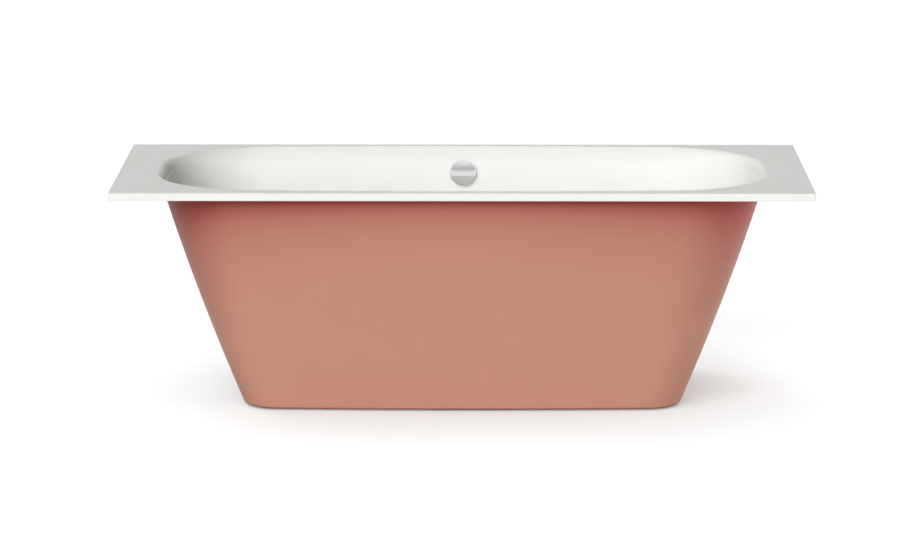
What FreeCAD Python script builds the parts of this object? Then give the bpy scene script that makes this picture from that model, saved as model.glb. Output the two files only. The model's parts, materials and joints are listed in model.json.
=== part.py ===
import FreeCAD
import Part
import Sketcher
import math
import os
import re

# Built-in bathtub: a pressed steel tub with a flat rim, hung with a tapered coloured skirt.
# It stands on two cross rails with four levelling feet, and carries its waste, trap and overflow.
# Frame: X runs along the bath, -Y is the front, +Y the overflow side, Z up from the floor.

# Driving sizes in millimetres
SIZES = {
    # Tub
    "basin_depth": 430,
    "sheet": 3,
    "mouth_length": 1558,       # inside the upright strip under the mouth's round
    "mouth_width": 682,
    "mouth_corner": 245,
    "side_arc": 10000,          # long sides bow out on this radius
    "end_arc": 3000,
    "basin_end_taper": 204,     # lean of each end wall from the strip to the floor
    "basin_side_taper": 80,
    "floor_corner": 170,
    "mouth_round": 22,
    "mouth_strip": 1,           # upright, between the mouth's round and the leaning wall
    "floor_round": 80,
    "end_land": 121,            # rim beyond the mouth
    "side_land": 59,
    "rim_edge": 20,             # height of the turned-down edge
    "rim_corner": 5,
    "rim_edge_round": 2,
    # Skirt
    "skirt_end_offset": 8,      # skirt top beyond the mouth
    "skirt_side_offset": 33,
    "skirt_end_taper": 213,
    "skirt_side_taper": 97,
    "skirt_end_bulge": 8,
    "skirt_side_bulge": 4,
    "skirt_top_corner": 240,
    "skirt_bottom_corner": 90,
    "skirt_wall": 2,
    "skirt_lift": 3,            # gap above the floor
    "skirt_bottom_round": 8,
    "skirt_return": 20,         # lip turned in at the bottom
    "skirt_end_flange": 43,     # flange turned out at the top
    "skirt_side_flange": 16,
    # Rim core, tape and the screws that hold the skirt
    "core_fit": 1,
    "core_offset": 30,          # core's hole beyond the mouth
    "tape": 1.5,
    "tape_inset": 2,
    "screw": 4,
    "screw_fit": 0.2,
    "screw_length": 12,
    "screw_head": 8,
    "screw_head_height": 2.5,
    "side_screw_margin": 74,    # last screw to the start of the flange's corner
    "end_screw_margin": 59,
    "end_screw_inset": 10,      # from the flange's outer edge
    "side_screw_inset": 8,
    # Rails
    "rail_end_inset": 245,      # from the floor's edge to the middle of a rail
    "rail_inset": 71,           # from the floor's edge to a rail's end
    "rail_width": 40,
    "rail_height": 25,
    "rail_wall": 2,
    "rail_pad": 5,
    "cap": 3,
    "cap_depth": 12,
    "cap_fit": 0.3,
    # Feet
    "foot_inset": 40,           # from a rail's end
    "foot_bolt": 12,
    "foot_bolt_fit": 0.2,
    "foot_bolt_reach": 11,      # beyond the rail's bottom wall
    "foot_nut": 21,
    "foot_nut_height": 10,
    "foot_pad": 50,
    "foot_pad_height": 14,
    "foot_pad_floor": 6,
    "foot_collar": 22,
    "foot_collar_height": 6,
    # Sound mat and earth lug under the floor
    "mat": 3,
    "mat_gap": 50,              # to the rails
    "mat_edge": 5,              # beside the mat's hole
    "mat_hole": 110,
    "lug": 3,
    "lug_width": 25,
    "lug_height": 30,
    "lug_foot": 24,             # level leg towards the front
    "lug_hole": 6.6,
    "lug_gap": 12,              # from the mat
    # Waste
    "drain_inset": 151,         # from the floor's edge on the overflow side
    "drain_hole": 52,
    "waste_gasket": 1.5,
    "waste_flange": 72,
    "waste_flange_height": 3,
    "waste_neck": 48,
    "waste_bore": 40,
    "waste_neck_length": 25,    # below the top of the tub's floor
    "web": 3,
    "web_height": 5,
    "hub": 13,
    "waste_seal": 3,
    "waste_seal_diameter": 76,
    "thread_fit": 0.2,
    "body_flange": 80,
    "body_flange_height": 5,
    "body": 72,
    "body_wall": 3,
    "body_height": 55,
    "outlet": 40,
    "pipe_wall": 3,
    "outlet_length": 20,
    # Plug and its lever
    "plug": 62,
    "plug_edge": 2,
    "plug_dome": 4,
    "plug_stem": 8,
    "plug_stem_fit": 0.16,
    "plug_stem_length": 54,
    "plug_seal": 2,
    "plug_seal_outer": 58,
    "plug_seal_inner": 44,
    "plug_lift": 12,
    "lever_arm": 22,
    "lever_overrun": 5,
    "lever_thickness": 5,
    "lever_width": 6,
    "lever_eye": 10,
    "lever_drop": 1.5,          # pivot below the middle of the stem's round end
    "lever_pin": 4,
    "lever_pin_fit": 0.12,
    # Trap
    "trap_washer": 2,
    "trap_collar": 46,
    "trap_collar_height": 4,
    "trap_nut": 56,
    "trap_nut_lip": 4,
    "trap_nut_height": 20,
    "trap_clearance": 10,       # above the floor
    "trap_drop": 52,            # from the waste's outlet to the lowest run
    "trap_span": 70,
    "trap_rise": 72,
    "trap_tail": 12,            # outlet's end above the floor
    "trap_bend": 32,
    # Overflow
    "overflow_drop": 67,
    "overflow_hole": 52,
    "overflow_seat": 0.1,
    "overflow_seal": 2.5,
    "overflow_body": 66,
    "overflow_depth": 24,
    "overflow_wall": 2.5,
    "overflow_plate": 62,
    "overflow_plate_height": 2.5,
    "overflow_inlet": 13,
    "overflow_hub": 14,
    "overflow_hub_height": 5,
    "overflow_screw_pitch": 40,
    "overflow_screw_length": 18,
    "overflow_boss": 9,
    "knob": 71,
    "knob_depth": 12,
    "knob_gap": 7,              # between the wall and the knob's edge
    "knob_wall": 2.5,
    "knob_dome": 160,
    "knob_round": 4,
    "spindle": 8,
    "spindle_fit": 0.16,
    "spindle_tail": 24,         # behind the wall's inner face
    "drum": 22,
    "drum_height": 6,
    # Hose and cable from the overflow to the waste
    "port": 20,
    "port_wall": 2.5,
    "port_length": 24,
    "port_drop": 42,            # below the top of the tub's floor
    "hose_fit": 0.2,
    "hose_wall": 2.9,
    "hose_gap": 4,
    "hose_bend": 70,
    "clamp": 1.2,
    "clamp_width": 8,
    "clamp_fit": 0.1,
    "cable": 6,
    "cable_fit": 0.2,
    "cable_offset": 24,
    "cable_entry": 3,           # bare end inside each housing
}

# Sizes that follow from them
FOLLOWING = {
    "wall_height": "basin_depth - mouth_round - mouth_strip",
    "under_floor": "trap_clearance + outlet / 2 + trap_drop + trap_washer"
                   " + outlet_length + body_height + waste_seal",
    "drain_offset": "mouth_width / 2 - basin_side_taper - drain_inset",
    "rail_spacing": "mouth_length - 2 * (basin_end_taper + rail_end_inset)",
    "rail_length": "mouth_width - 2 * (basin_side_taper + rail_inset)",
    "foot_spacing": "rail_length - 2 * foot_inset",
    "mat_length": "rail_spacing - rail_width - 2 * mat_gap",
    "mat_width": "2 * (drain_offset + mat_edge) + mat_hole",
    "lug_offset": "mat_width / 2 + lug_gap",
    # the lever pin ends in the middle of the body's wall
    "lever_pin_length": "2 * sqrt((body / 2 - body_wall / 2) ^ 2 - lever_arm ^ 2)",
    "flange_corner": "skirt_top_corner + skirt_side_flange",
    "last_side_screw": "mouth_length / 2 + skirt_end_offset + skirt_end_flange"
                       " - flange_corner - side_screw_margin",
    "last_end_screw": "mouth_width / 2 + skirt_side_offset + skirt_side_flange"
                      " - flange_corner - end_screw_margin",
}

RAIL_SIDES = {"left": -1, "right": 1}
FOOT_PLACES = {"front_left": (-1, -1), "front_right": (1, -1), "back_left": (-1, 1), "back_right": (1, 1)}
SIDE_SCREW_SHARES = (-1, -0.5, 0, 0.5, 1)     # of the way to the last screw
END_SCREW_SHARES = (-1, 1)
PLATE_INLET_COUNT = 4
WEB_COUNT = 3
HEX_SIDES = 6

Vector = FreeCAD.Vector
Placement = FreeCAD.Placement
Rotation = FreeCAD.Rotation
ALONG = Vector(1, 0, 0)
BACK = Vector(0, 1, 0)
UP = Vector(0, 0, 1)
ORIGIN = Vector(0, 0, 0)

doc = FreeCAD.newDocument("bathtub")
sizes = doc.addObject("Spreadsheet::Sheet", "Sizes")
cells = {alias: str(number) for alias, number in SIZES.items()}
cells |= {alias: f"={text}" for alias, text in FOLLOWING.items()}
for row, (alias, content) in enumerate(cells.items(), start=1):
    sizes.set(f"A{row}", alias)
    sizes.setAlias(f"B{row}", alias)
    sizes.set(f"B{row}", content)
    doc.recompute()


def formula(text):
    """The text with each size's name pointing at its cell."""
    return re.sub(r"[a-z_]+", lambda word: f"Sizes.{word[0]}" if word[0] in cells else word[0], text)


def bind(thing, **texts):
    for name, text in texts.items():
        thing.setExpression(name, formula(text))


# Levels and lines that several pieces share
floor_top = sizes.under_floor + sizes.sheet
rim_top = floor_top + sizes.basin_depth
rim_bottom = rim_top - sizes.rim_edge
rim_under = rim_top - sizes.sheet
wall_top = floor_top + sizes.wall_height
flange_top = rim_bottom + sizes.skirt_wall
tape_top = flange_top + sizes.tape
skirt_length = sizes.mouth_length / 2 + sizes.skirt_end_offset
skirt_width = sizes.mouth_width / 2 + sizes.skirt_side_offset
rail_top = sizes.under_floor - sizes.rail_pad
rail_bottom = rail_top - sizes.rail_height
side_slope = sizes.basin_side_taper / sizes.wall_height
side_tilt = math.degrees(math.atan(side_slope))


# Basic solids

def cylinder(name, diameter, height, at=ORIGIN, axis=UP):
    thing = doc.addObject("Part::Cylinder", name)
    bind(thing, Radius=f"({diameter}) / 2", Height=height)
    thing.Placement = Placement(at, Rotation(UP, axis))
    return thing


def box(name, length, width, height, at):
    thing = doc.addObject("Part::Box", name)
    bind(thing, Length=length, Width=width, Height=height)
    thing.Placement.Base = at
    return thing


def hexagon(name, corners, height, at):
    thing = doc.addObject("Part::Prism", name)
    thing.Polygon = HEX_SIDES
    bind(thing, Circumradius=f"({corners}) / 2", Height=height)
    thing.Placement.Base = at
    return thing


def fuse(name, *pieces):
    thing = doc.addObject("Part::MultiFuse", name)
    thing.Shapes = list(pieces)
    return thing


def cut(name, base, *tools):
    thing = doc.addObject("Part::Cut", name)
    thing.Base = base
    thing.Tool = tools[0] if len(tools) == 1 else fuse(f"{name}_cuts", *tools)
    return thing


def common(name, *pieces):
    thing = doc.addObject("Part::MultiCommon", name)
    thing.Shapes = list(pieces)
    return thing


def group(name, members):
    thing = doc.addObject("Part::Compound", name)
    thing.Links = list(members)
    return thing


def ring(name, outer, inner, height, at=ORIGIN, axis=UP):
    solid = cylinder(f"{name}_solid", outer, height, at, axis)
    hole = cylinder(f"{name}_hole", inner, height, at, axis)
    return cut(name, solid, hole)


# Outlines of the basin, the skirt and their fittings

def outline_arcs(half_length, half_width, corner):
    """Eight tangent arcs: bowed sides and ends with a round at each corner."""
    side, end = sizes.side_arc, sizes.end_arc
    side_middle = Vector(0, half_width - side, 0)
    end_middle = Vector(half_length - end, 0, 0)
    between = end_middle - side_middle
    reach = between.Length
    along = ((side - corner) ** 2 - (end - corner) ** 2 + reach ** 2) / (2 * reach)
    across = math.sqrt((side - corner) ** 2 - along ** 2)
    direction = between / reach
    middle = side_middle + direction * along + Vector(direction.y, -direction.x, 0) * across
    side_turn = math.atan2(middle.y - side_middle.y, middle.x - side_middle.x)
    end_turn = math.atan2(middle.y - end_middle.y, middle.x - end_middle.x)
    half, full = math.pi, 2 * math.pi

    def arc(x, y, radius, start, finish):
        return Part.ArcOfCircle(Part.Circle(Vector(x, y, 0), UP, radius), start, finish)

    return [
        arc(0, side_middle.y, side, side_turn, half - side_turn),
        arc(-middle.x, middle.y, corner, half - side_turn, half - end_turn),
        arc(-end_middle.x, 0, end, half - end_turn, half + end_turn),
        arc(-middle.x, -middle.y, corner, half + end_turn, half + side_turn),
        arc(0, -side_middle.y, side, half + side_turn, full - side_turn),
        arc(middle.x, -middle.y, corner, full - side_turn, full - end_turn),
        arc(end_middle.x, 0, end, -end_turn, end_turn),
        arc(middle.x, middle.y, corner, end_turn, side_turn),
    ]


def draw_outline(sketch, mark, half_length, half_width, corner):
    """Adds the eight arcs to a sketch. Each size is a (number, formula text) pair."""
    start, finish, centre = 1, 2, 3
    root, x_axis, y_axis = (-1, 1), -1, -2
    arcs = sketch.addGeometry(outline_arcs(half_length[0], half_width[0], corner[0]), False)
    back, back_left, left, front_left, front, front_right, right, back_right = arcs
    for this, following in zip(arcs, arcs[1:] + arcs[:1]):
        sketch.addConstraint(Sketcher.Constraint("Tangent", this, finish, following, start))
    for this in (back, front):
        sketch.addConstraint(Sketcher.Constraint("PointOnObject", this, centre, y_axis))
    for this in (left, right):
        sketch.addConstraint(Sketcher.Constraint("PointOnObject", this, centre, x_axis))
    for pair in ((back, front), (left, right), (back_left, front_left), (back_left, front_right),
                 (back_left, back_right)):
        sketch.addConstraint(Sketcher.Constraint("Equal", *pair))
    side_sink = (sizes.side_arc - half_width[0], f"side_arc - ({half_width[1]})")
    end_sink = (sizes.end_arc - half_length[0], f"end_arc - ({half_length[1]})")
    driven = {
        "side": (("Radius", back), (sizes.side_arc, "side_arc")),
        "end": (("Radius", left), (sizes.end_arc, "end_arc")),
        "corner": (("Radius", back_left), corner),
        "back": (("DistanceY", back, centre, *root), side_sink),
        "front": (("DistanceY", *root, front, centre), side_sink),
        "left": (("DistanceX", *root, left, centre), end_sink),
        "right": (("DistanceX", right, centre, *root), end_sink),
    }
    for word, (what, (number, text)) in driven.items():
        index = sketch.addConstraint(Sketcher.Constraint(*what, number))
        sketch.renameConstraint(index, f"{mark}_{word}")
        sketch.setExpression(f"Constraints.{mark}_{word}", formula(text))


def new_body(label):
    body = doc.addObject("PartDesign::Body", label)
    body.Label = label
    return body


def origin_plane(body, role):
    return next(plane for plane in body.Origin.OriginFeatures if plane.Role == role)


def new_sketch(body, name, level):
    """A level sketch. The level is a (number, formula text) pair."""
    sketch = body.newObject("Sketcher::SketchObject", name)
    sketch.AttachmentSupport = [(origin_plane(body, "XY_Plane"), "")]
    sketch.MapMode = "FlatFace"
    sketch.AttachmentOffset = Placement(Vector(0, 0, level[0]), Rotation())
    sketch.setExpression("AttachmentOffset.Base.z", formula(level[1]))
    return sketch


def outline_sketch(body, name, level, *outlines):
    sketch = new_sketch(body, name, level)
    for number, outline in enumerate(outlines):
        draw_outline(sketch, f"line_{number}", *outline)
    return sketch


def rectangle_sketch(body, name, level, half_length, half_width):
    sketch = new_sketch(body, name, level)
    x, y = half_length[0], half_width[0]
    corners = [Vector(x, y, 0), Vector(-x, y, 0), Vector(-x, -y, 0), Vector(x, -y, 0)]
    following = corners[1:] + corners[:1]
    lines = sketch.addGeometry([Part.LineSegment(a, b) for a, b in zip(corners, following)], False)
    for this, following in zip(lines, lines[1:] + lines[:1]):
        sketch.addConstraint(Sketcher.Constraint("Coincident", this, 2, following, 1))
    sketch.addConstraint(Sketcher.Constraint("Horizontal", lines[0]))
    sketch.addConstraint(Sketcher.Constraint("Vertical", lines[1]))
    sketch.addConstraint(Sketcher.Constraint("Symmetric", lines[0], 1, lines[2], 1, -1, 1))
    for word, (what, (number, text)) in {
        "length": (("DistanceX", -1, 1, lines[0], 1), half_length),
        "width": (("DistanceY", -1, 1, lines[0], 1), half_width),
    }.items():
        index = sketch.addConstraint(Sketcher.Constraint(*what, number))
        sketch.renameConstraint(index, word)
        sketch.setExpression(f"Constraints.{word}", formula(text))
    return sketch


def circles_sketch(body, name, level, places, diameter):
    sketch = new_sketch(body, name, level)
    for number, (x, y) in enumerate(places):
        circle = sketch.addGeometry(Part.Circle(Vector(x, y, 0), UP, diameter[0] / 2), False)
        index = sketch.addConstraint(Sketcher.Constraint("Diameter", circle, diameter[0]))
        sketch.renameConstraint(index, f"hole_{number}")
        sketch.setExpression(f"Constraints.hole_{number}", formula(diameter[1]))
        sketch.addConstraint(Sketcher.Constraint("Block", circle))
    return sketch


def prism(body, kind, sketch, length, upward=True):
    """A Pad, or a Pocket that is checked to have cut something."""
    before = body.Shape.Volume if body.Tip else 0
    feature = body.newObject(f"PartDesign::{kind}", f"{sketch.Name}_{kind}")
    feature.Profile = sketch
    bind(feature, Length=length)
    feature.Reversed = upward if kind == "Pocket" else not upward
    doc.recompute()
    if kind == "Pocket" and body.Shape.Volume >= before:
        raise RuntimeError(f"{feature.Name} cut nothing")
    return feature


def loft(body, kind, sketches):
    """Straight walls from each sketch to the next."""
    feature = body.newObject(f"PartDesign::{kind}Loft", f"{body.Name}_{kind}Loft")
    feature.Profile = sketches[0]
    feature.Sections = sketches[1:]
    feature.Ruled = True
    doc.recompute()
    return feature


def level_edges(body, level, wanted):
    """Names of the level edges at one height that pass the test."""
    names = []
    for number, edge in enumerate(body.Shape.Edges, start=1):
        bounds = edge.BoundBox
        if bounds.ZLength < Part.Precision.approximation() and math.isclose(bounds.ZMin, level, abs_tol=1e-3):
            if wanted(edge):
                names.append(f"Edge{number}")
    return names


def is_arc(edge):
    return not isinstance(edge.Curve, (Part.Line, Part.LineSegment))


def fillet(body, radius, names):
    before = body.Tip
    feature = body.newObject("PartDesign::Fillet", f"{body.Name}_round")
    feature.Base = (before, names)
    bind(feature, Radius=radius)
    doc.recompute()
    return feature


# Tub

END_RUN = "sheet * sqrt(1 + (basin_end_taper / wall_height) ^ 2)"
SIDE_RUN = "sheet * sqrt(1 + (basin_side_taper / wall_height) ^ 2)"


def mouth_outline(sheets):
    """Half length, half width and corner of the mouth's upright strip, moved out by a number of sheets."""
    return (
        (sizes.mouth_length / 2 + sizes.sheet * sheets, f"mouth_length / 2 + sheet * {sheets}"),
        (sizes.mouth_width / 2 + sizes.sheet * sheets, f"mouth_width / 2 + sheet * {sheets}"),
        (sizes.mouth_corner + sizes.sheet * sheets, f"mouth_corner + sheet * {sheets}"),
    )


def floor_outline(sheets):
    """The same at the foot of the leaning walls, moved out and down by a number of sheets."""
    share = 1 + sizes.sheet * sheets / sizes.wall_height
    share_text = f"(1 + sheet * {sheets} / wall_height)"
    end_run = sizes.sheet * math.hypot(1, sizes.basin_end_taper / sizes.wall_height) * sheets
    side_run = sizes.sheet * math.hypot(1, side_slope) * sheets
    return (
        (sizes.mouth_length / 2 - sizes.basin_end_taper * share + end_run,
         f"mouth_length / 2 - basin_end_taper * {share_text} + {sheets} * {END_RUN}"),
        (sizes.mouth_width / 2 - sizes.basin_side_taper * share + side_run,
         f"mouth_width / 2 - basin_side_taper * {share_text} + {sheets} * {SIDE_RUN}"),
        (sizes.floor_corner + sizes.sheet * sheets, f"floor_corner + sheet * {sheets}"),
    )


RIM_TOP = "under_floor + sheet + basin_depth"
WALL_TOP = "under_floor + sheet + wall_height"
RIM_LENGTH = (sizes.mouth_length / 2 + sizes.end_land, "mouth_length / 2 + end_land")
RIM_WIDTH = (sizes.mouth_width / 2 + sizes.side_land, "mouth_width / 2 + side_land")


def inset(size, distance):
    """A (number, text) size made smaller by a named size."""
    return (size[0] - getattr(sizes, distance), f"{size[1]} - {distance}")


def overflow_place():
    """The overflow's own frame: its Z leaves the wall into the basin, its Y runs up the wall."""
    wall = sizes.mouth_width / 2 - side_slope * (wall_top - rim_top + sizes.overflow_drop)
    return Placement(Vector(0, wall, rim_top - sizes.overflow_drop), Rotation(ALONG, 90 - side_tilt))


def make_tub():
    body = new_body("tub")
    rim = rectangle_sketch(body, "tub_rim", (rim_top, RIM_TOP), RIM_LENGTH, RIM_WIDTH)
    prism(body, "Pad", rim, "rim_edge", upward=False)
    upright = [f"Edge{number}" for number, edge in enumerate(body.Shape.Edges, start=1)
               if edge.BoundBox.ZLength > sizes.rim_edge / 2]
    fillet(body, "rim_corner", upright)
    fillet(body, "rim_edge_round", level_edges(body, rim_top, lambda edge: True))
    tray = rectangle_sketch(body, "tub_tray", (rim_bottom, f"{RIM_TOP} - rim_edge"),
                            inset(RIM_LENGTH, "sheet"), inset(RIM_WIDTH, "sheet"))
    prism(body, "Pocket", tray, "rim_edge - sheet")
    strip = outline_sketch(body, "tub_strip", (wall_top, WALL_TOP), mouth_outline(1))
    prism(body, "Pad", strip, "mouth_round + mouth_strip - sheet")
    outer_top = outline_sketch(body, "tub_outer_top", (wall_top, WALL_TOP), mouth_outline(1))
    under_floor = (sizes.under_floor, "under_floor")
    outer_floor = outline_sketch(body, "tub_outer_floor", under_floor, floor_outline(1))
    loft(body, "Additive", [outer_top, outer_floor])
    inner_top = outline_sketch(body, "tub_inner_top", (wall_top, WALL_TOP), mouth_outline(0))
    on_floor = (floor_top, "under_floor + sheet")
    inner_floor = outline_sketch(body, "tub_inner_floor", on_floor, floor_outline(0))
    loft(body, "Subtractive", [inner_top, inner_floor])
    mouth = outline_sketch(body, "tub_mouth", (wall_top, WALL_TOP), mouth_outline(0))
    prism(body, "Pocket", mouth, "mouth_round + mouth_strip")

    def on_basin(edge):
        return is_arc(edge) and edge.Length > sizes.rim_corner * math.pi

    fillet(body, "floor_round", level_edges(body, floor_top, on_basin))
    fillet(body, "floor_round + sheet", level_edges(body, sizes.under_floor, on_basin))
    fillet(body, "mouth_round", level_edges(body, rim_top, on_basin))
    fillet(body, "mouth_round - sheet", level_edges(body, rim_under, on_basin))
    drain = circles_sketch(body, "tub_drain", (sizes.under_floor, "under_floor"), [(0, sizes.drain_offset)],
                           (sizes.drain_hole, "drain_hole"))
    prism(body, "Pocket", drain, "2 * sheet")
    hole = (sizes.overflow_hole, "overflow_hole")
    overflow = circles_sketch(body, "tub_overflow", (0, "0"), [(0, 0)], hole)
    overflow.setExpression("AttachmentOffset.Base.z", None)
    overflow.AttachmentOffset = overflow_place() * Placement(UP * (2 * sizes.sheet), Rotation())
    prism(body, "Pocket", overflow, "6 * sheet", upward=False)
    return body


# Skirt, with its flange, its lip and the screws' holes

SKIRT_TOP = f"({RIM_TOP} - rim_edge + skirt_wall)"
SKIRT_SPANS = 4
ROUND_SPANS = 3


def skirt_outline(level, inset_by):
    """Half length, half width and corner of the skirt's outer face at a level, less an inset.

    The level and the inset are (number, formula text) pairs."""
    share = (flange_top - level[0]) / (flange_top - sizes.skirt_lift)
    share_text = f"(({SKIRT_TOP} - ({level[1]})) / ({SKIRT_TOP} - skirt_lift))"
    swell = 4 * share * (1 - share)
    swell_text = f"4 * {share_text} * (1 - {share_text})"
    return (
        (skirt_length - sizes.skirt_end_taper * share + sizes.skirt_end_bulge * swell - inset_by[0],
         f"mouth_length / 2 + skirt_end_offset - skirt_end_taper * {share_text}"
         f" + skirt_end_bulge * {swell_text} - ({inset_by[1]})"),
        (skirt_width - sizes.skirt_side_taper * share + sizes.skirt_side_bulge * swell - inset_by[0],
         f"mouth_width / 2 + skirt_side_offset - skirt_side_taper * {share_text}"
         f" + skirt_side_bulge * {swell_text} - ({inset_by[1]})"),
        (sizes.skirt_top_corner + (sizes.skirt_bottom_corner - sizes.skirt_top_corner) * share - inset_by[0],
         f"skirt_top_corner + (skirt_bottom_corner - skirt_top_corner) * {share_text} - ({inset_by[1]})"),
    )


def skirt_sections(body, name, wall):
    """Sketches down the skirt's face and round its bottom edge. The wall is a (number, formula text) pair."""
    turn = (sizes.skirt_lift + sizes.skirt_bottom_round, "skirt_lift + skirt_bottom_round")
    radius = (sizes.skirt_bottom_round - wall[0], f"(skirt_bottom_round - {wall[1]})")
    stations = []
    for span in range(SKIRT_SPANS + 1):
        share = span / SKIRT_SPANS
        level = (flange_top + (turn[0] - flange_top) * share,
                 f"{SKIRT_TOP} + ({turn[1]} - {SKIRT_TOP}) * {share}")
        stations.append((level, wall))
    for span in range(1, ROUND_SPANS + 1):
        angle = math.pi / 2 * span / ROUND_SPANS
        sine, lost = math.sin(angle), 1 - math.cos(angle)
        level = (turn[0] - radius[0] * sine, f"{turn[1]} - {radius[1]} * {sine}")
        stations.append((level, (wall[0] + radius[0] * lost, f"{wall[1]} + {radius[1]} * {lost}")))
    return [outline_sketch(body, f"{name}_{number}", level, skirt_outline(level, inset_by))
            for number, (level, inset_by) in enumerate(stations)]


FLANGE_OUTLINE = (
    (skirt_length + sizes.skirt_end_flange, "mouth_length / 2 + skirt_end_offset + skirt_end_flange"),
    (skirt_width + sizes.skirt_side_flange, "mouth_width / 2 + skirt_side_offset + skirt_side_flange"),
    (sizes.flange_corner, "flange_corner"),
)


def bowed(arc, half_size, place):
    """Distance from the middle to a bowed side at a place along it."""
    return half_size - arc + math.sqrt(arc ** 2 - place ** 2)


def skirt_screw_places():
    side = FLANGE_OUTLINE[1][0] - sizes.side_screw_inset
    end = FLANGE_OUTLINE[0][0] - sizes.end_screw_inset
    along = [share * sizes.last_side_screw for share in SIDE_SCREW_SHARES]
    across = [share * sizes.last_end_screw for share in END_SCREW_SHARES]
    places = [(x, hand * bowed(sizes.side_arc, side, x)) for hand in (-1, 1) for x in along]
    return places + [(hand * bowed(sizes.end_arc, end, y), y) for hand in (-1, 1) for y in across]


def make_skirt():
    body = new_body("skirt")
    loft(body, "Additive", skirt_sections(body, "skirt_outer", (0, "0")))
    flange = outline_sketch(body, "skirt_flange", (rim_bottom, f"{RIM_TOP} - rim_edge"), FLANGE_OUTLINE)
    prism(body, "Pad", flange, "skirt_wall")
    loft(body, "Subtractive", skirt_sections(body, "skirt_inner", (sizes.skirt_wall, "skirt_wall")))
    foot = (sizes.skirt_lift, "skirt_lift")
    lip = outline_sketch(body, "skirt_lip", foot, skirt_outline(foot, (sizes.skirt_return, "skirt_return")))
    prism(body, "Pocket", lip, "2 * skirt_wall")
    holes = circles_sketch(body, "skirt_holes", (rim_bottom, f"{RIM_TOP} - rim_edge"), skirt_screw_places(),
                           (sizes.screw + sizes.screw_fit, "screw + screw_fit"))
    prism(body, "Pocket", holes, "2 * skirt_wall")
    return body


def make_rim_core():
    """The stiff ring in the rim's tray that the skirt is screwed to."""
    body = new_body("rim_core")
    level = (tape_top, f"{SKIRT_TOP} + tape")
    plate = rectangle_sketch(body, "core_plate", level, inset(inset(RIM_LENGTH, "sheet"), "core_fit"),
                             inset(inset(RIM_WIDTH, "sheet"), "core_fit"))
    prism(body, "Pad", plate, "rim_edge - sheet - skirt_wall - tape")
    mouth = mouth_outline(0)
    hole = outline_sketch(body, "core_hole", level,
                          [(size[0] + sizes.core_offset, f"{size[1]} + core_offset") for size in mouth])
    prism(body, "Pocket", hole, "rim_edge")
    pilots = circles_sketch(body, "core_pilots", level, skirt_screw_places(),
                            (sizes.screw + sizes.screw_fit, "screw + screw_fit"))
    prism(body, "Pocket", pilots, "screw_length - skirt_wall - tape")
    return body


def make_skirt_tape():
    body = new_body("skirt_tape")
    outer = [inset(size, "tape_inset") for size in FLANGE_OUTLINE]
    inner = (
        (sizes.mouth_length / 2 + sizes.core_offset + sizes.tape_inset,
         "mouth_length / 2 + core_offset + tape_inset"),
        (skirt_width + sizes.tape_inset, "mouth_width / 2 + skirt_side_offset + tape_inset"),
        (sizes.skirt_top_corner + sizes.tape_inset, "skirt_top_corner + tape_inset"),
    )
    band = outline_sketch(body, "tape_band", (flange_top, SKIRT_TOP), outer, inner)
    prism(body, "Pad", band, "tape")
    holes = circles_sketch(body, "tape_holes", (flange_top, SKIRT_TOP), skirt_screw_places(),
                           (sizes.screw + sizes.screw_fit, "screw + screw_fit"))
    prism(body, "Pocket", holes, "2 * tape")
    return body


def make_skirt_screws():
    screws = []
    for number, (x, y) in enumerate(skirt_screw_places()):
        name = f"skirt_screw_{number}"
        shank = cylinder(f"{name}_shank", "screw", "screw_length", Vector(x, y, rim_bottom))
        head = cylinder(f"{name}_head", "screw_head", "screw_head_height",
                        Vector(x, y, rim_bottom - sizes.screw_head_height))
        screws.append(fuse(name, shank, head))
    return group("skirt_screws", screws)


# Rails and feet

def foot_place(name):
    along, across = FOOT_PLACES[name]
    return Vector(along * sizes.rail_spacing / 2, across * sizes.foot_spacing / 2, 0)


def make_rail(side):
    name = f"rail_{side}"
    middle = RAIL_SIDES[side] * sizes.rail_spacing / 2
    corner = Vector(middle - sizes.rail_width / 2, -sizes.rail_length / 2, rail_bottom)
    outer = box(f"{name}_outer", "rail_width", "rail_length", "rail_height", corner)
    inner = box(f"{name}_inner", "rail_width - 2 * rail_wall", "rail_length", "rail_height - 2 * rail_wall",
                corner + Vector(sizes.rail_wall, 0, sizes.rail_wall))
    holes = []
    for foot in FOOT_PLACES:
        place = foot_place(foot)
        if math.isclose(place.x, middle):
            holes.append(cylinder(f"{name}_{foot}_hole", "foot_bolt + foot_bolt_fit", "2 * rail_wall",
                                  place + UP * (rail_bottom - sizes.rail_wall / 2)))
    return cut(name, outer, inner, *holes)


def make_rail_caps():
    caps = []
    for side, hand in RAIL_SIDES.items():
        for end in (-1, 1):
            name = f"rail_cap_{side}_{'front' if end < 0 else 'back'}"
            middle = hand * sizes.rail_spacing / 2
            face_y = end * (sizes.rail_length + sizes.cap) / 2 - sizes.cap / 2
            plug_y = end * (sizes.rail_length - sizes.cap_depth) / 2 - sizes.cap_depth / 2
            hole = sizes.rail_wall + sizes.cap_fit
            plate = box(f"{name}_face", "rail_width", "cap", "rail_height",
                        Vector(middle - sizes.rail_width / 2, face_y, rail_bottom))
            plug = box(f"{name}_plug", "rail_width - 2 * (rail_wall + cap_fit)", "cap_depth",
                       "rail_height - 2 * (rail_wall + cap_fit)",
                       Vector(middle - sizes.rail_width / 2 + hole, plug_y, rail_bottom + hole))
            caps.append(fuse(name, plate, plug))
    return group("rail_end_caps", caps)


def make_rail_pads():
    pads = []
    for side, hand in RAIL_SIDES.items():
        side = hand * sizes.rail_spacing / 2 - sizes.rail_width / 2
        corner = Vector(side, -sizes.rail_length / 2, rail_top)
        pads.append(box(f"rail_pad_{side}", "rail_width", "rail_length", "rail_pad", corner))
    return group("rail_pads", pads)


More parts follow.
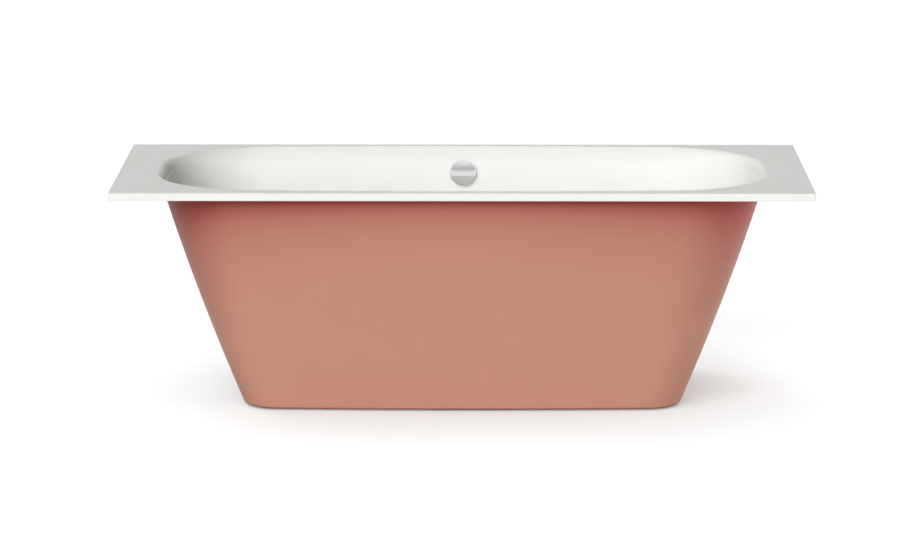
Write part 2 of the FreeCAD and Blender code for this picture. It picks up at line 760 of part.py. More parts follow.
def make_foot_nuts(name, steps_down):
    nuts = []
    for foot in FOOT_PLACES:
        at = foot_place(foot) + UP * (rail_bottom - steps_down * sizes.foot_nut_height)
        solid = hexagon(f"{name}_{foot}_hex", "foot_nut", "foot_nut_height", at)
        hole = cylinder(f"{name}_{foot}_hole", "foot_bolt + foot_bolt_fit", "foot_nut_height", at)
        nuts.append(cut(f"{name}_{foot}", solid, hole))
    return group(name, nuts)


def make_foot_bolt(foot):
    name = f"foot_bolt_{foot}"
    place = foot_place(foot)
    length = "under_floor - rail_pad - rail_height + rail_wall + foot_bolt_reach - foot_pad_floor"
    shank = cylinder(f"{name}_shank", "foot_bolt", length, place + UP * sizes.foot_pad_floor)
    pad_top = place + UP * sizes.foot_pad_height
    collar = hexagon(f"{name}_collar", "foot_collar", "foot_collar_height", pad_top)
    return fuse(name, shank, collar)


def make_foot_pad(foot):
    name = f"foot_pad_{foot}"
    place = foot_place(foot)
    solid = cylinder(f"{name}_solid", "foot_pad", "foot_pad_height", place)
    hole = cylinder(f"{name}_hole", "foot_bolt + foot_bolt_fit", "foot_pad_height",
                    place + UP * sizes.foot_pad_floor)
    return cut(name, solid, hole)


# Sound mat and earth lug

def make_floor_mat():
    corner = Vector(-sizes.mat_length / 2, -sizes.mat_width / 2, sizes.under_floor - sizes.mat)
    sheet = box("floor_mat_sheet", "mat_length", "mat_width", "mat", corner)
    hole = cylinder("floor_mat_hole", "mat_hole", "mat", Vector(0, sizes.drain_offset, corner.z))
    return cut("floor_mat", sheet, hole)


def make_earth_lug():
    """An angle under the floor. The cable's eye bolts through its level leg."""
    back = -sizes.lug_offset + sizes.lug / 2
    bottom = sizes.under_floor - sizes.lug_height
    side = -sizes.lug_width / 2
    plate = box("earth_lug_plate", "lug_width", "lug", "lug_height", Vector(side, back - sizes.lug, bottom))
    leg = box("earth_lug_leg", "lug_width", "lug_foot", "lug", Vector(side, back - sizes.lug_foot, bottom))
    hole_at = Vector(0, back - (sizes.lug + sizes.lug_foot) / 2, bottom)
    hole = cylinder("earth_lug_hole", "lug_hole", "lug", hole_at)
    return cut("earth_lug", fuse("earth_lug_angle", plate, leg), hole)


# Waste, built about the drain's axis with zero at the top of the tub's floor

drain_place = Placement(Vector(0, sizes.drain_offset, floor_top), Rotation())
flange_level = sizes.waste_gasket
seat_level = flange_level + sizes.waste_flange_height
body_level = -sizes.sheet - sizes.waste_seal
body_bottom = body_level - sizes.body_height
plug_level = seat_level + sizes.plug_seal
stem_end = plug_level - sizes.plug_stem_length
pivot = Vector(0, -sizes.lever_arm, stem_end + sizes.plug_stem / 2 - sizes.lever_drop)
lever_swing = 2 * math.degrees(math.asin(sizes.plug_lift / 2 / sizes.lever_arm))


def at_drain(thing):
    thing.Placement = drain_place
    return thing


def make_waste_seals():
    upper = ring("waste_seal_upper", "waste_flange - 2 * waste_gasket", "drain_hole", "waste_gasket")
    lower = ring("waste_seal_lower", "waste_seal_diameter", "drain_hole", "waste_seal", UP * body_level)
    return [at_drain(upper), at_drain(lower)]


def make_waste_flange():
    disc = cylinder("waste_flange_disc", "waste_flange", "waste_flange_height", UP * flange_level)
    neck = cylinder("waste_flange_neck", "waste_neck", "waste_neck_length + waste_gasket",
                    UP * -sizes.waste_neck_length)
    low = UP * -sizes.waste_neck_length
    bore = cylinder("waste_flange_bore", "waste_bore",
                    "waste_neck_length + waste_gasket + waste_flange_height", low)
    shell = cut("waste_flange_shell", fuse("waste_flange_solid", disc, neck), bore)
    webs = []
    for number in range(WEB_COUNT):
        web = box(f"waste_web_{number}", "(waste_bore + waste_neck) / 4", "web", "web_height", low)
        turn = Rotation(UP, number * 360 / WEB_COUNT)
        web.Placement = Placement(low + turn.multVec(BACK * (-sizes.web / 2)), turn)
        webs.append(web)
    hub = cylinder("waste_hub", "hub", "web_height", low)
    guide = cylinder("waste_guide", "plug_stem + 2 * plug_stem_fit", "web_height", low)
    return at_drain(cut("waste_flange", fuse("waste_flange_webbed", shell, hub, *webs), guide))


def make_waste_body():
    flange = cylinder("waste_body_flange", "body_flange", "body_flange_height",
                      UP * (body_level - sizes.body_flange_height))
    barrel = cylinder("waste_body_barrel", "body", "body_height", UP * body_bottom)
    outlet_at = UP * (body_bottom - sizes.outlet_length)
    spigot = cylinder("waste_body_spigot", "outlet", "outlet_length", outlet_at)
    port_at = UP * -sizes.port_drop
    port = cylinder("waste_body_port", "port", "body / 2 + port_length", port_at, BACK)
    throat_at = UP * -sizes.waste_neck_length
    throat = cylinder("waste_body_throat", "waste_neck + thread_fit", "body_height", throat_at)
    chamber = cylinder("waste_body_chamber", "body - 2 * body_wall",
                       "body_height + sheet + waste_seal - waste_neck_length - body_wall",
                       UP * (body_bottom + sizes.body_wall))
    outlet = cylinder("waste_body_outlet", "outlet - 2 * pipe_wall", "outlet_length + 2 * body_wall",
                      UP * (body_bottom - sizes.outlet_length))
    port_bore = cylinder("waste_body_port_bore", "port - 2 * port_wall", "body / 2 + port_length",
                         port_at, BACK)
    pin_hole = cylinder("waste_body_pin_hole", "lever_pin + lever_pin_fit", "lever_pin_length",
                        pivot - ALONG * (sizes.lever_pin_length / 2), ALONG)
    cable_hole = cylinder("waste_body_cable_hole", "cable + cable_fit", "body / 2",
                          port_at + ALONG * sizes.cable_offset, BACK)
    solid = fuse("waste_body_solid", flange, barrel, spigot, port)
    return at_drain(cut("waste_body", solid, throat, chamber, outlet, port_bore, pin_hole, cable_hole))


def make_plug():
    edge = cylinder("plug_edge", "plug", "plug_edge", UP * plug_level)
    dome_radius = (sizes.plug ** 2 / 4 + sizes.plug_dome ** 2) / (2 * sizes.plug_dome)
    ball = doc.addObject("Part::Sphere", "plug_ball")
    bind(ball, Radius="(plug ^ 2 / 4 + plug_dome ^ 2) / (2 * plug_dome)")
    ball.Placement.Base = UP * (plug_level + sizes.plug_edge + sizes.plug_dome - dome_radius)
    cap = cylinder("plug_cap", "plug", "plug_edge + plug_dome", UP * plug_level)
    stem = cylinder("plug_stem", "plug_stem", "plug_stem_length - plug_stem / 2",
                    UP * (stem_end + sizes.plug_stem / 2))
    tip = doc.addObject("Part::Sphere", "plug_tip")
    bind(tip, Radius="plug_stem / 2")
    tip.Placement.Base = UP * (stem_end + sizes.plug_stem / 2)
    return at_drain(fuse("plug", common("plug_dome", cap, ball), edge, stem, tip))


def make_plug_seal():
    return at_drain(ring("plug_seal", "plug_seal_outer", "plug_seal_inner", "plug_seal", UP * seat_level))


def make_lift_lever():
    """Built level about its pivot, then turned down to meet the plug's stem."""
    arm = box("lift_lever_arm", "lever_width", "lever_arm + lever_overrun", "lever_thickness",
              Vector(-sizes.lever_width / 2, 0, -sizes.lever_thickness / 2))
    eye = cylinder("lift_lever_eye", "lever_eye", "lever_width", ALONG * (-sizes.lever_width / 2), ALONG)
    hole = cylinder("lift_lever_hole", "lever_pin + lever_pin_fit", "lever_width",
                    ALONG * (-sizes.lever_width / 2), ALONG)
    lever = cut("lift_lever", fuse("lift_lever_solid", arm, eye), hole)
    lever.Placement = drain_place * Placement(pivot, Rotation(ALONG, -lever_swing / 2))
    return lever


def make_lever_pin():
    start = pivot - ALONG * (sizes.lever_pin_length / 2)
    rod = cylinder("lever_pin_rod", "lever_pin", "lever_pin_length", start, ALONG)
    return at_drain(group("lever_pin", [rod]))


# Pipes, hose and cable

def bent_path(points, bend):
    """Straight runs joined by tangent arcs."""
    edges = []
    start = points[0]
    for before, corner, after in zip(points, points[1:], points[2:]):
        into = (corner - before).normalize()
        out = (after - corner).normalize()
        turn = into.getAngle(out)
        tangent = bend * math.tan(turn / 2)
        enter, leave = corner - into * tangent, corner + out * tangent
        inward = (out - into).normalize()
        crown = corner + inward * (bend / math.cos(turn / 2) - bend)
        edges.append(Part.LineSegment(start, enter).toShape())
        edges.append(Part.Arc(enter, crown, leave).toShape())
        start = leave
    edges.append(Part.LineSegment(start, points[-1]).toShape())
    return Part.Wire(edges)


def swept(path, points, diameter):
    first = (points[1] - points[0]).normalize()
    circle = Part.Wire(Part.Circle(points[0], first, diameter / 2).toShape())
    return path.makePipeShell([circle], True, False)


def pipe(name, points, bend, outer, inner=0):
    path = bent_path(points, bend)
    solid = swept(path, points, outer)
    if inner:
        solid = solid.cut(swept(path, points, inner))
    section = math.pi * (outer ** 2 - inner ** 2) / 4
    if not math.isclose(solid.Volume, section * path.Length, rel_tol=0.01):
        raise RuntimeError(f"{name} is not swept whole")
    thing = doc.addObject("Part::Feature", name)
    thing.Shape = solid
    thing.Placement = Placement()
    return thing


def make_trap():
    """Washer, union nut and the bent trap, hung from the waste's outlet and turned down into the floor."""
    outlet_end = drain_place.Base + UP * (body_bottom - sizes.outlet_length)
    inlet = outlet_end - UP * sizes.trap_washer
    points = [inlet, inlet - UP * sizes.trap_drop]
    points.append(points[-1] - ALONG * sizes.trap_span)
    points.append(points[-1] + UP * sizes.trap_rise)
    points.append(points[-1] - ALONG * sizes.trap_span)
    points.append(points[-1] - UP * (points[-1].z - sizes.trap_tail))
    tube = pipe("trap_tube", points, sizes.trap_bend, sizes.outlet, sizes.outlet - 2 * sizes.pipe_wall)
    collar_at = inlet - UP * sizes.trap_collar_height
    collar = ring("trap_collar", "trap_collar", "outlet", "trap_collar_height", collar_at)
    washer = ring("trap_washer", "trap_collar", "outlet - 2 * pipe_wall", "trap_washer", inlet)
    nut_at = collar_at - UP * sizes.trap_nut_lip
    nut = cylinder("trap_nut_solid", "trap_nut", "trap_nut_height", nut_at)
    nut_bore = cylinder("trap_nut_bore", "outlet + thread_fit", "trap_nut_height", nut_at)
    nut_room = cylinder("trap_nut_room", "trap_collar + thread_fit", "trap_collar_height + trap_washer",
                        collar_at)
    return [fuse("trap_body", tube, collar), washer, cut("trap_nut", nut, nut_bore, nut_room)]


# Overflow, built about its own axis with zero at the wall's inner face

shell_level = -sizes.sheet - sizes.overflow_seal
shell_back = shell_level - sizes.overflow_depth
port_level = shell_level - sizes.overflow_depth / 2
plate_level = sizes.overflow_seat
plate_front = plate_level + sizes.overflow_plate_height
DOWN_WALL = Vector(0, -1, 0)


def at_overflow(thing):
    thing.Placement = overflow_place()
    return thing


def screw_spots():
    return [ALONG * (hand * sizes.overflow_screw_pitch / 2) for hand in (-1, 1)]


def make_overflow_seal():
    seal = ring("overflow_seal", "overflow_body", "overflow_hole", "overflow_seal", UP * shell_level)
    return at_overflow(seal)


def make_overflow_body():
    barrel = cylinder("overflow_body_barrel", "overflow_body", "overflow_depth", UP * shell_back)
    port_at = UP * port_level
    port = cylinder("overflow_body_port", "port", "overflow_body / 2 + port_length", port_at, DOWN_WALL)
    room = cylinder("overflow_body_room", "overflow_body - 2 * overflow_wall", "overflow_depth",
                    UP * (shell_back + sizes.overflow_wall))
    port_bore = cylinder("overflow_body_port_bore", "port - 2 * port_wall", "overflow_body / 2 + port_length",
                         port_at, DOWN_WALL)
    cable_hole = cylinder("overflow_body_cable_hole", "cable + cable_fit", "overflow_body / 2",
                          port_at + ALONG * sizes.cable_offset, DOWN_WALL)
    shell = cut("overflow_shell", fuse("overflow_body_solid", barrel, port), room, port_bore, cable_hole)
    bosses = [cylinder(f"overflow_boss_{number}", "overflow_boss", "overflow_depth + overflow_seal + sheet - "
                       "overflow_wall", spot + UP * (shell_back + sizes.overflow_wall))
              for number, spot in enumerate(screw_spots())]
    pilots = [cylinder(f"overflow_pilot_{number}", "screw + screw_fit", "overflow_screw_length",
                       spot + UP * (plate_front - sizes.overflow_screw_length))
              for number, spot in enumerate(screw_spots())]
    return at_overflow(cut("overflow_body", fuse("overflow_bossed", shell, *bosses), *pilots))


def make_overflow_plate():
    disc = cylinder("overflow_plate_disc", "overflow_plate", "overflow_plate_height", UP * plate_level)
    hub = cylinder("overflow_plate_hub", "overflow_hub", "overflow_hub_height", UP * plate_level)
    bore = cylinder("overflow_plate_bore", "spindle + spindle_fit", "overflow_hub_height", UP * plate_level)
    holes = [cylinder(f"overflow_plate_hole_{number}", "screw + screw_fit", "overflow_plate_height",
                      spot + UP * plate_level) for number, spot in enumerate(screw_spots())]
    inlets = []
    for number in range(PLATE_INLET_COUNT):
        turn = Rotation(UP, (number + 0.5) * 360 / PLATE_INLET_COUNT)
        at = turn.multVec(ALONG * (sizes.overflow_screw_pitch / 2)) + UP * plate_level
        inlets.append(cylinder(f"overflow_inlet_{number}", "overflow_inlet", "overflow_plate_height", at))
    return at_overflow(cut("overflow_plate", fuse("overflow_plate_solid", disc, hub), bore, *holes, *inlets))


def make_overflow_screws():
    screws = []
    for number, spot in enumerate(screw_spots()):
        shank = cylinder(f"overflow_screw_{number}_shank", "screw", "overflow_screw_length",
                         spot + UP * (plate_front - sizes.overflow_screw_length))
        head = cylinder(f"overflow_screw_{number}_head", "screw_head", "screw_head_height",
                        spot + UP * plate_front)
        screws.append(fuse(f"overflow_screw_{number}", shank, head))
    return at_overflow(group("overflow_screws", screws))


def make_overflow_knob():
    """A chromed cap with a slightly domed face and a round edge."""
    blank = cylinder("knob_blank", "knob", "knob_depth", UP * sizes.knob_gap)
    ball = doc.addObject("Part::Sphere", "knob_ball")
    bind(ball, Radius="knob_dome")
    ball.Placement.Base = UP * (sizes.knob_gap + sizes.knob_depth - sizes.knob_dome)
    face = common("knob_face", blank, ball)
    doc.recompute()
    edges = face.Shape.Edges
    circles = [number for number, edge in enumerate(edges) if not edge.Degenerated and edge.isClosed()]
    edge = max(circles, key=lambda number: face.Shape.Edges[number].BoundBox.ZMin)
    rounded = doc.addObject("Part::Fillet", "knob_rounded")
    rounded.Base = face
    rounded.Edges = [(edge + 1, sizes.knob_round, sizes.knob_round)]
    room = cylinder("knob_room", "knob - 2 * knob_wall", "knob_depth - 2 * knob_wall", UP * sizes.knob_gap)
    socket = cylinder("knob_socket", "overflow_hub", "knob_depth - 2 * knob_wall", UP * sizes.knob_gap)
    bore = cylinder("knob_bore", "spindle + spindle_fit", "knob_depth - 2 * knob_wall", UP * sizes.knob_gap)
    shell = cut("knob_shell", rounded, room)
    return at_overflow(cut("overflow_knob", fuse("knob_socketed", shell, socket), bore))


def make_overflow_spindle():
    return at_overflow(group("overflow_spindle", [
        cylinder("spindle_rod", "spindle", "spindle_tail + knob_gap + knob_depth - 2 * knob_wall",
                 UP * -sizes.spindle_tail)]))


def make_cable_drum():
    drum_at = UP * -sizes.spindle_tail
    return at_overflow(ring("cable_drum", "drum", "spindle + spindle_fit", "drum_height", drum_at))


def waste_run(across):
    """Start, direction and corner of a run from the overflow down to the waste, at a place across."""
    frame = overflow_place()
    start = frame.multVec(UP * port_level + ALONG * across)
    down = frame.Rotation.multVec(DOWN_WALL)
    level = floor_top - sizes.port_drop
    corner = start + down * ((level - start.z) / down.z)
    return start, down, corner


def make_overflow_hose():
    start, down, corner = waste_run(0)
    first = start + down * (sizes.overflow_body / 2 + sizes.hose_gap)
    last = Vector(0, sizes.drain_offset + sizes.body / 2 + sizes.hose_gap, corner.z)
    bore = sizes.port + sizes.hose_fit
    hose = pipe("overflow_hose", [first, corner, last], sizes.hose_bend, bore + 2 * sizes.hose_wall, bore)
    clamps = []
    for name, at, axis in (("upper", first, down), ("lower", last, BACK)):
        clamps.append(ring(f"hose_clamp_{name}", "port + hose_fit + 2 * (hose_wall + clamp_fit / 2 + clamp)",
                           "port + hose_fit + 2 * hose_wall + clamp_fit", "clamp_width",
                           at + axis * sizes.hose_gap, axis))
    return [hose, group("hose_clamps", clamps)]


def make_lift_cable():
    start, down, corner = waste_run(sizes.cable_offset)
    upper_wall = sizes.overflow_body / 2 - sizes.overflow_wall
    lower_wall = sizes.body / 2 - sizes.body_wall
    first = start + down * (math.sqrt(upper_wall ** 2 - sizes.cable_offset ** 2) - sizes.cable_entry)
    inside = math.sqrt(lower_wall ** 2 - sizes.cable_offset ** 2) - sizes.cable_entry
    last = Vector(sizes.cable_offset, sizes.drain_offset + inside, corner.z)
    return pipe("lift_cable", [first, corner, last], sizes.hose_bend, sizes.cable)


# Build, check and write every piece

pieces = [make_tub(), make_skirt(), make_rim_core(), make_skirt_tape(), make_skirt_screws()]
pieces += [make_rail(side) for side in RAIL_SIDES]
pieces += [make_rail_caps(), make_rail_pads()]
pieces += [make_foot_nuts("foot_nuts", 1), make_foot_nuts("foot_lock_nuts", 2)]
for foot_name in FOOT_PLACES:
    pieces += [make_foot_bolt(foot_name), make_foot_pad(foot_name)]
pieces += [make_floor_mat(), make_earth_lug()]
pieces += make_waste_seals() + [make_waste_flange(), make_waste_body(), make_plug(), make_plug_seal()]
pieces += [make_lift_lever(), make_lever_pin()] + make_trap()
pieces += [make_overflow_seal(), make_overflow_body(), make_overflow_plate(), make_overflow_screws()]
pieces += [make_overflow_knob(), make_overflow_spindle(), make_cable_drum()]
pieces += make_overflow_hose() + [make_lift_cable()]
doc.recompute()

for thing in doc.Objects:
    if "Invalid" in thing.State or "Error" in thing.State:
        raise RuntimeError(f"{thing.Name} did not build")
os.makedirs("parts", exist_ok=True)
for piece in pieces:
    if piece.Shape.isNull() or not piece.Shape.isValid() or not piece.Shape.Solids:
        raise RuntimeError(f"{piece.Label} has no sound solid")
    piece.Shape.exportStep(f"parts/{piece.Label}.step")
    print(piece.Label, len(piece.Shape.Solids), round(piece.Shape.Volume))
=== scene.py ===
import json
import math
import bmesh
import bpy
from mathutils import Matrix, Vector


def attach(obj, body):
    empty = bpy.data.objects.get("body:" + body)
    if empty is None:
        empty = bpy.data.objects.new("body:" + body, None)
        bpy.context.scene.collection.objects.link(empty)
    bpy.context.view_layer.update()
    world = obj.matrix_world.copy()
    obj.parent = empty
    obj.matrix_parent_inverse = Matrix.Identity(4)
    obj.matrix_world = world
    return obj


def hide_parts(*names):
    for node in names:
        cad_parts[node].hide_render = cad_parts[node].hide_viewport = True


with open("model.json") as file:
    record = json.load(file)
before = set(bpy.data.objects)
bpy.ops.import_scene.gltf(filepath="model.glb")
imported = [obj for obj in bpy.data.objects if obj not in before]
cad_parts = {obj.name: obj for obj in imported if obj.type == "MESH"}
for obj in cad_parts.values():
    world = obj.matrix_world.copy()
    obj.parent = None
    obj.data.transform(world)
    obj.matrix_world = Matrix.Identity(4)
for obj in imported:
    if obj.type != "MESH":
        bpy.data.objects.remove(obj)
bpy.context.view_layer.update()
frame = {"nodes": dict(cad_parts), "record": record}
scene = bpy.context.scene
scene.view_settings.view_transform = "Standard"
print("frame loaded,", len(frame["nodes"]), "nodes")

# camera where the photographer stood
viewPoint = {"place": (0.0452, -10.6155, 2.3334), "lookDown": 10.717, "turn": 0.280,
             "lens": 159.7, "sensor": 36.0, "farthest": 400}

cameraData = bpy.data.cameras.new("photoCamera")
cameraData.lens = viewPoint["lens"]
cameraData.sensor_width = viewPoint["sensor"]
cameraData.clip_end = viewPoint["farthest"]
camera = bpy.data.objects.new("photoCamera", cameraData)
camera.location = viewPoint["place"]
camera.rotation_euler = (math.radians(90 - viewPoint["lookDown"]), 0, math.radians(viewPoint["turn"]))
scene.collection.objects.link(camera)
scene.camera = camera
print("camera set")

# mesh helpers
sharpAngle = 35    # edges that turn by more degrees stay crisp


def pieceFromMesh(name, builder, material):
    mesh = bpy.data.meshes.new(name)
    builder.to_mesh(mesh)
    builder.free()
    mesh.shade_smooth()
    mesh.set_sharp_from_angle(angle=math.radians(sharpAngle))
    mesh.materials.append(material)
    piece = bpy.data.objects.new(name, mesh)
    scene.collection.objects.link(piece)
    return piece


def bridgeRings(builder, rings, closed):
    # quads between neighbouring rings; a ring of one point closes to a fan
    made = [[builder.verts.new(point) for point in ring] for ring in rings]
    pairs = list(zip(made, made[1:]))
    if closed:
        pairs.append((made[-1], made[0]))
    for first, second in pairs:
        count = max(len(first), len(second))
        for step in range(count):
            following = (step + 1) % count
            corners = []
            for vert in (first[step % len(first)], first[following % len(first)],
                         second[following % len(second)], second[step % len(second)]):
                if vert not in corners:
                    corners.append(vert)
            builder.faces.new(corners)


def ringPiece(name, rings, material, closed=True):
    builder = bmesh.new()
    bridgeRings(builder, rings, closed)
    bmesh.ops.recalc_face_normals(builder, faces=builder.faces)
    return pieceFromMesh(name, builder, material)


def turnedRings(profile, steps):
    # profile of (radius, height) turned about the upright axis
    rings = []
    for radius, height in profile:
        if radius == 0:
            rings.append([Vector((0, 0, height))])
            continue
        turns = [2 * math.pi * step / steps for step in range(steps)]
        rings.append([Vector((radius * math.cos(turn), radius * math.sin(turn), height)) for turn in turns])
    return rings


def roundCorner(centre, radius, start, finish, steps):
    # points of an arc in a profile, angles in degrees from the outward direction
    turns = [math.radians(start + (finish - start) * step / steps) for step in range(steps + 1)]
    return [(centre[0] + radius * math.cos(turn), centre[1] + radius * math.sin(turn)) for turn in turns]


# shared surface effects
effectDetail = {"peel": 1.5, "peelRoughness": 0.4, "cloud": 3, "streak": 4, "blotch": 3, "mouldCloud": 4,
                "coverSamples": 24, "upward": (0, 0, 40)}


def newEffect(name, inputs, outputs):
    group = bpy.data.node_groups.new(name, "ShaderNodeTree")
    for label, value in inputs.items():
        socket = group.interface.new_socket(label, in_out="INPUT", socket_type="NodeSocketFloat")
        socket.default_value = value
    for label in outputs:
        group.interface.new_socket(label, in_out="OUTPUT", socket_type="NodeSocketFloat")
    return group, group.nodes.new("NodeGroupInput"), group.nodes.new("NodeGroupOutput")


def addNoise(group, place, scale, detail):
    noise = group.nodes.new("ShaderNodeTexNoise")
    noise.inputs["Detail"].default_value = detail
    group.links.new(place, noise.inputs["Vector"])
    group.links.new(scale, noise.inputs["Scale"])
    return noise


def addCover(nodes, links, lean):
    # ambient occlusion about the surface's normal after a lean is added to it
    surface = nodes.new("ShaderNodeNewGeometry")
    leaning = nodes.new("ShaderNodeVectorMath")
    leaning.operation = "ADD"
    leaning.inputs[1].default_value = lean
    links.new(surface.outputs["Normal"], leaning.inputs[0])
    aim = nodes.new("ShaderNodeVectorMath")
    aim.operation = "NORMALIZE"
    links.new(leaning.outputs["Vector"], aim.inputs[0])
    cover = nodes.new("ShaderNodeAmbientOcclusion")
    cover.samples = effectDetail["coverSamples"]
    links.new(aim.outputs["Vector"], cover.inputs["Normal"])
    return cover


def makeEnamelPeel():
    # slow waviness of a fired or sprayed coat, and a faint cloudiness
    group, given, result = newEffect("enamelPeel", {"Scale": 90, "Cloud": 3}, ("Height", "Tone"))
    place = group.nodes.new("ShaderNodeTexCoord").outputs["Object"]
    peel = addNoise(group, place, given.outputs["Scale"], effectDetail["peel"])
    peel.inputs["Roughness"].default_value = effectDetail["peelRoughness"]
    cloud = addNoise(group, place, given.outputs["Cloud"], effectDetail["cloud"])
    group.links.new(peel.outputs["Fac"], result.inputs["Height"])
    group.links.new(cloud.outputs["Fac"], result.inputs["Tone"])
    return group


def makeMetalGrain():
    # fine streaks along one direction and soft blotches
    group, given, result = newEffect("metalGrain", {"Scale": 40, "Stretch": 30}, ("Height", "Tone"))
    nodes, links = group.nodes, group.links
    place = nodes.new("ShaderNodeTexCoord").outputs["Object"]
    squeeze = nodes.new("ShaderNodeCombineXYZ")
    squeeze.inputs["X"].default_value = 1
    squeeze.inputs["Y"].default_value = 1
    links.new(given.outputs["Stretch"], squeeze.inputs["Z"])
    spread = nodes.new("ShaderNodeVectorMath")
    spread.operation = "MULTIPLY"
    links.new(place, spread.inputs[0])
    links.new(squeeze.outputs["Vector"], spread.inputs[1])
    streak = addNoise(group, spread.outputs["Vector"], given.outputs["Scale"], effectDetail["streak"])
    blotch = addNoise(group, place, given.outputs["Scale"], effectDetail["blotch"])
    links.new(streak.outputs["Fac"], result.inputs["Height"])
    links.new(blotch.outputs["Fac"], result.inputs["Tone"])
    return group


def makeMouldGrain():
    # pebbled skin of moulded plastic and rubber
    group, given, result = newEffect("mouldGrain", {"Scale": 900, "Cloud": 14}, ("Height", "Tone"))
    place = group.nodes.new("ShaderNodeTexCoord").outputs["Object"]
    pebble = group.nodes.new("ShaderNodeTexVoronoi")
    group.links.new(place, pebble.inputs["Vector"])
    group.links.new(given.outputs["Scale"], pebble.inputs["Scale"])
    cloud = addNoise(group, place, given.outputs["Cloud"], effectDetail["mouldCloud"])
    group.links.new(pebble.outputs["Distance"], result.inputs["Height"])
    group.links.new(cloud.outputs["Fac"], result.inputs["Tone"])
    return group


def makeSkyShade():
    # how far the sky above a spot is covered within a short reach, 0 open and 1 covered; this is the mask for
    # painted shade
    group, given, result = newEffect("skyShade", {"Reach": 0.4, "Open": 0.39}, ("Shade",))
    cover = addCover(group.nodes, group.links, effectDetail["upward"])
    shade = group.nodes.new("ShaderNodeMapRange")
    shade.inputs["To Min"].default_value = 1
    shade.inputs["To Max"].default_value = 0
    group.links.new(given.outputs["Reach"], cover.inputs["Distance"])
    group.links.new(cover.outputs["AO"], shade.inputs["Value"])
    group.links.new(given.outputs["Open"], shade.inputs["From Max"])
    group.links.new(shade.outputs["Result"], result.inputs["Shade"])
    return group


enamelPeel = makeEnamelPeel()
metalGrain = makeMetalGrain()
mouldGrain = makeMouldGrain()
skyShade = makeSkyShade()

# one coat for each material slot: tones and roughness run from the effect's low to its high
coats = {
    "white_enamel": {
        "name": "whiteEnamel", "effect": enamelPeel, "grain": {"Scale": 70, "Cloud": 3},
        "tones": ((0.898, 0.888, 0.864), (0.916, 0.906, 0.884)), "roughness": (0.40, 0.48),
        "bump": (0.05, 0.0006), "shader": {"IOR": 1.5, "Specular IOR Level": 0.03}},
    "salmon_enamel": {
        "name": "salmonEnamel", "effect": enamelPeel, "grain": {"Scale": 160, "Cloud": 4},
        "tones": ((0.556, 0.279, 0.195), (0.576, 0.291, 0.205)), "roughness": (0.38, 0.46),
        "bump": (0.08, 0.0005), "shader": {"IOR": 1.5, "Specular IOR Level": 0.12}},
    "chrome_plate": {
        "name": "chromePlate", "effect": metalGrain, "grain": {"Scale": 60, "Stretch": 1},
        "tones": ((0.90, 0.905, 0.91), (0.94, 0.945, 0.95)), "roughness": (0.05, 0.11),
        "bump": (0.02, 0.0002), "shader": {"Metallic": 1.0}},
    "zinc_steel": {
        "name": "zincSteel", "effect": metalGrain, "grain": {"Scale": 60, "Stretch": 20},
        "tones": ((0.55, 0.56, 0.58), (0.68, 0.69, 0.70)), "roughness": (0.32, 0.50),
        "bump": (0.15, 0.0003), "shader": {"Metallic": 1.0}},
    "core_board": {
        "name": "coreBoard", "effect": mouldGrain, "grain": {"Scale": 700, "Cloud": 9},
        "tones": ((0.62, 0.61, 0.585), (0.70, 0.69, 0.665)), "roughness": (0.75, 0.88),
        "bump": (0.25, 0.0004), "shader": {"Specular IOR Level": 0.2}},
    "foam_tape": {
        "name": "foamTape", "effect": mouldGrain, "grain": {"Scale": 1400, "Cloud": 20},
        "tones": ((0.10, 0.10, 0.105), (0.14, 0.14, 0.145)), "roughness": (0.85, 0.95),
        "bump": (0.4, 0.0004), "shader": {"Specular IOR Level": 0.2}},
    "black_plastic": {
        "name": "blackPlastic", "effect": mouldGrain, "grain": {"Scale": 1200, "Cloud": 16},
        "tones": ((0.030, 0.030, 0.032), (0.045, 0.045, 0.048)), "roughness": (0.42, 0.56),
        "bump": (0.15, 0.0003), "shader": {"Specular IOR Level": 0.4}},
    "grey_plastic": {
        "name": "greyPlastic", "effect": mouldGrain, "grain": {"Scale": 1100, "Cloud": 14},
        "tones": ((0.36, 0.365, 0.37), (0.42, 0.425, 0.43)), "roughness": (0.36, 0.48),
        "bump": (0.10, 0.0003), "shader": {"Specular IOR Level": 0.4}},
    "white_plastic": {
        "name": "whitePlastic", "effect": mouldGrain, "grain": {"Scale": 1000, "Cloud": 12},
        "tones": ((0.78, 0.78, 0.76), (0.84, 0.84, 0.82)), "roughness": (0.30, 0.40),
        "bump": (0.08, 0.0003), "shader": {"Specular IOR Level": 0.4}},
    "black_rubber": {
        "name": "blackRubber", "effect": mouldGrain, "grain": {"Scale": 1500, "Cloud": 20},
        "tones": ((0.022, 0.022, 0.023), (0.036, 0.036, 0.037)), "roughness": (0.70, 0.85),
        "bump": (0.3, 0.0003), "shader": {"Specular IOR Level": 0.25}},
    "bitumen": {
        "name": "bitumen", "effect": mouldGrain, "grain": {"Scale": 350, "Cloud": 18},
        "tones": ((0.045, 0.043, 0.041), (0.07, 0.068, 0.064)), "roughness": (0.70, 0.88),
        "bump": (0.6, 0.0008), "shader": {"Specular IOR Level": 0.25}},
}
# painted shade under the rim: its deeper, redder tone, how far the cover is sought, and how much cover still
# counts as open
paintedShadeSalmon = {"tone": (0.350, 0.062, 0.054), "reach": 0.4, "open": 0.39}


